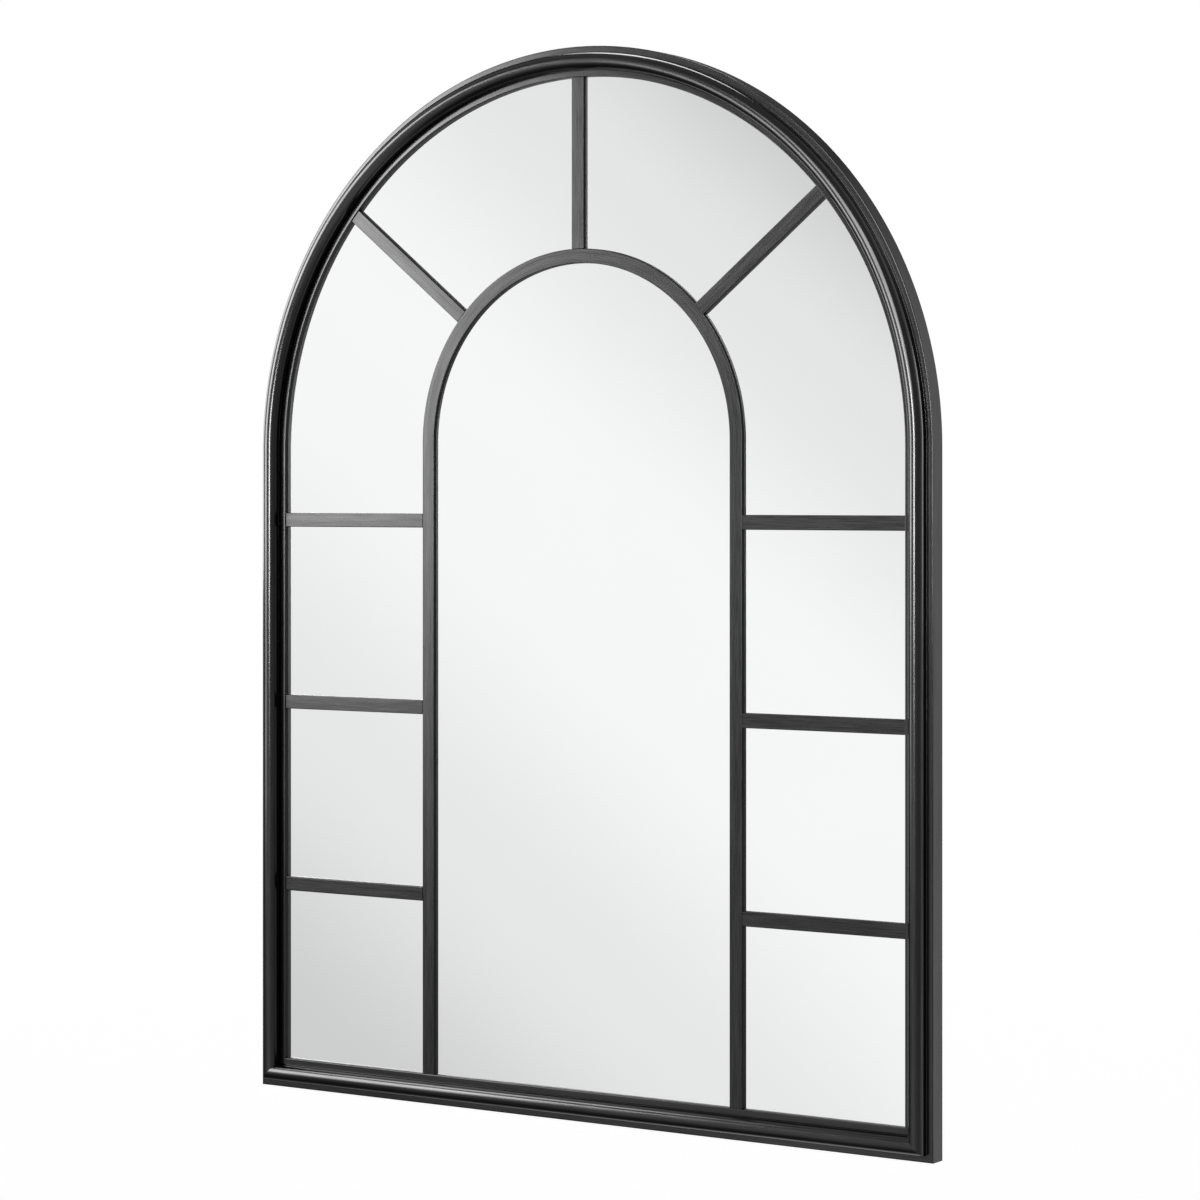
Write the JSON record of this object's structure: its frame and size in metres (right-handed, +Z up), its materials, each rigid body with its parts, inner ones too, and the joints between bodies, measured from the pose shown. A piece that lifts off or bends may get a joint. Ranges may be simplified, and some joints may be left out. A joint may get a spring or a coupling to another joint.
{
  "type": "arched mirror",
  "caption": "Arched windowpane wall mirror: brushed gunmetal moulding, flat bars that divide the glass into panes, boarded back with swinging D-ring hangers.",
  "frame": {"origin": "middle of the frame's underside, in the plane of the wall that the rear rim lies on", "axes": "+X to the right seen from the front, +Y from the mirror into the wall, +Z up"},
  "size_m": [0.762, 0.0298, 1.0159],
  "materials": {
    "frame_metal": "gunmetal, brushed lengthways, clear satin coat",
    "bar_metal": "gunmetal, brushed lengthways, clear satin coat",
    "mirror_silver": "silvered glass, polished",
    "board": "hardboard with a black painted face",
    "foam_tape": "white foam with adhesive on both faces",
    "zinc_steel": "bright zinc plate",
    "key_steel": "plain steel, lightly oiled"
  },
  "bodies": {
    "mirror": {"frame_arch": "frame_metal", "bottom_rail": "frame_metal", "inner_arch_bar": "bar_metal", "spoke_left": "bar_metal", "spoke_top": "bar_metal", "spoke_right": "bar_metal", "mirror_glass": "mirror_silver", "mounting_tape": "foam_tape", "backing_board": "board", "key_grub_screws": "key_steel", "board_screws": "zinc_steel", "strap_screws": "zinc_steel", "corner_key_left": "key_steel", "hanger_strap_left": "zinc_steel", "cross_bar_left_lower": "bar_metal", "cross_bar_left_middle": "bar_metal", "cross_bar_left_upper": "bar_metal", "corner_key_right": "key_steel", "hanger_strap_right": "zinc_steel", "cross_bar_right_lower": "bar_metal", "cross_bar_right_middle": "bar_metal", "cross_bar_right_upper": "bar_metal"},
    "ring_left": {"hanger_ring_left": "zinc_steel"},
    "ring_right": {"hanger_ring_right": "zinc_steel"}
  },
  "joints": [
    {"name": "ring_left_swing", "type": "hinge", "parent": "mirror", "child": "ring_left", "pos_m": [-0.3705, -0.00275, 0.612], "axis": [1, 0, 0], "range_deg": [0, 180]},
    {"name": "ring_right_swing", "type": "hinge", "parent": "mirror", "child": "ring_right", "pos_m": [0.3705, -0.00275, 0.612], "axis": [1, 0, 0], "range_deg": [0, 180]}
  ]
}
